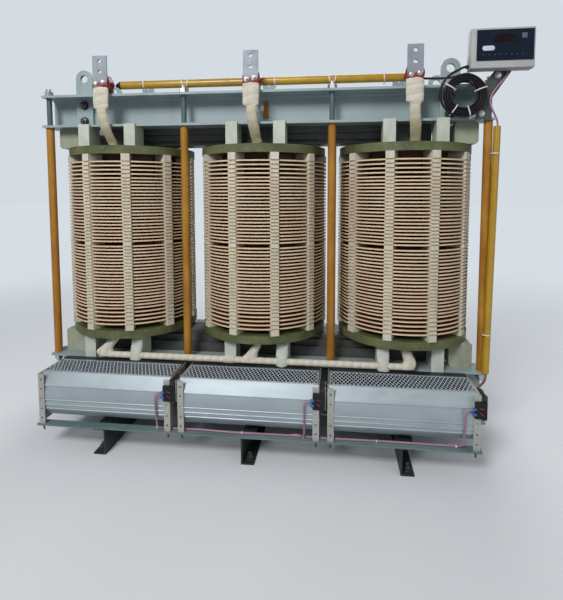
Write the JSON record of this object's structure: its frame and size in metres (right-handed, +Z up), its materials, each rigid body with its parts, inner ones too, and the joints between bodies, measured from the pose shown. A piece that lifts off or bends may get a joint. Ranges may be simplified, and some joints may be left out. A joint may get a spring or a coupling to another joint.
{
  "type": "ozone generator transformer",
  "caption": "Open dry-type transformer with round disc-wound coils on a laminated core, channel clamps, top terminals, cross-flow cooling fans and a temperature controller.",
  "frame": {"origin": "on the floor under the middle of the core, on the underside of the middle foot channel", "axes": "+X to the right along the row of coils, -Y to the front (the side with the controller), +Z up"},
  "size_m": [1.6296, 0.7, 1.352],
  "materials": {
    "dark_paint": "satin",
    "clamp_paint": "satin",
    "core_steel": "matt",
    "pressboard": "matt",
    "zinc_steel": "satin",
    "ochre_tube": "satin",
    "inner_coil": "matt",
    "barrier": "satin",
    "disc_tape": "matt",
    "comb": "matt",
    "end_ring": "satin",
    "pale_block": "matt",
    "side_block": "matt",
    "tinned_bar": "satin",
    "red_resin": "gloss",
    "cream_tape": "matt",
    "yellow_tube": "satin",
    "fan_aluminium": "satin",
    "fan_zinc": "satin",
    "black_plastic": "matt",
    "case_grey": "satin",
    "panel_dark": "gloss",
    "cable_black": "matt"
  },
  "bodies": {
    "root": {"foot_left": "dark_paint", "foot_middle": "dark_paint", "foot_right": "dark_paint", "lower_clamp_front": "clamp_paint", "lower_clamp_back": "clamp_paint", "upper_clamp_front": "clamp_paint", "upper_clamp_back": "clamp_paint", "core": "core_steel", "yoke_pads": "pressboard", "tie_rods": "zinc_steel", "rod_sleeves": "ochre_tube", "lifting_lugs": "clamp_paint", "inner_windings": "inner_coil", "barrier_cylinders": "barrier", "disc_winding_left": "disc_tape", "disc_winding_middle": "disc_tape", "disc_winding_right": "disc_tape", "comb_stays_left": "comb", "comb_stays_middle": "comb", "comb_stays_right": "comb", "end_rings_top": "end_ring", "end_rings_bottom": "end_ring", "support_blocks_top": "pale_block", "support_blocks_bottom": "pale_block", "side_blocks": "side_block", "terminal_bars": "tinned_bar", "standoffs": "red_resin", "taped_leads": "cream_tape", "star_bar": "cream_tape", "sensor_conduit": "yellow_tube", "conduit_saddles": "ochre_tube", "cable_riser": "yellow_tube", "fan_rail_front": "clamp_paint", "fan_rail_back": "clamp_paint", "fan_housings_front": "fan_aluminium", "fan_housings_back": "fan_aluminium", "fan_end_plates_front": "fan_zinc", "fan_end_plates_back": "fan_zinc", "fan_grilles_front": "fan_aluminium", "fan_grilles_back": "fan_aluminium", "fan_motors_front": "black_plastic", "fan_motors_back": "black_plastic", "controller_bracket": "clamp_paint", "controller_case": "case_grey", "controller_panel": "panel_dark", "sensor_cable_coil": "cable_black", "sensor_cable": "cable_black"}
  },
  "joints": []
}
